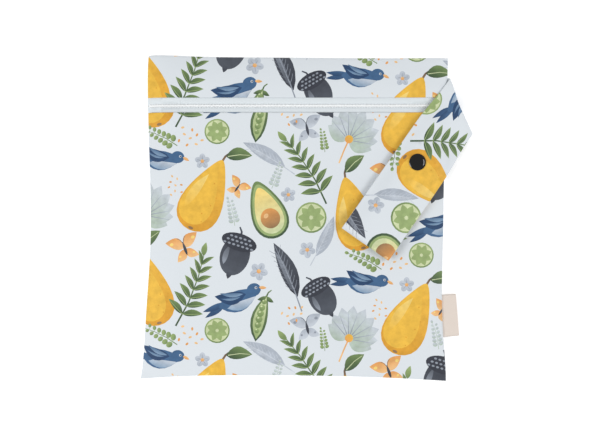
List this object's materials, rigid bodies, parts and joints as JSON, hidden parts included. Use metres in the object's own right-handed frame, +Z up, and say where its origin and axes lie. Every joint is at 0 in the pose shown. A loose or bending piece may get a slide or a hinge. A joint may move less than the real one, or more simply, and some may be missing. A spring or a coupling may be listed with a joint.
{
  "type": "zipped wet bag",
  "caption": "Flat zipped cloth pouch with a snap strap folded across its front and a bare label in the side seam, closed and lying on its back.",
  "frame": {"origin": "middle of the flat outer face of the back panel, on the surface the bag lies on", "axes": "+X to the right of the front, towards the strap and label seam; +Y towards the top edge and the zip; +Z up out of the front"},
  "size_m": [0.2482, 0.2441, 0.0187],
  "materials": {
    "printed_cloth": "smooth laminated knit with a printed pattern, slight sheen",
    "zip_tape": "woven polyester tape",
    "zip_nylon": "pale nylon coil",
    "black_plastic": "glossy moulded plastic",
    "cotton_tape": "soft woven cotton tape"
  },
  "bodies": {
    "root": {"back_panel": "printed_cloth", "front_panel": "printed_cloth", "upper_front_panel": "printed_cloth", "zip_lower_tape": "zip_tape", "zip_upper_tape": "zip_tape", "zip_chain": "zip_nylon", "zip_slider": "zip_nylon", "strap": "printed_cloth", "snap_cap": "black_plastic", "snap_socket": "black_plastic", "snap_stud": "black_plastic", "snap_back_cap": "black_plastic", "side_label": "cotton_tape"}
  },
  "joints": []
}
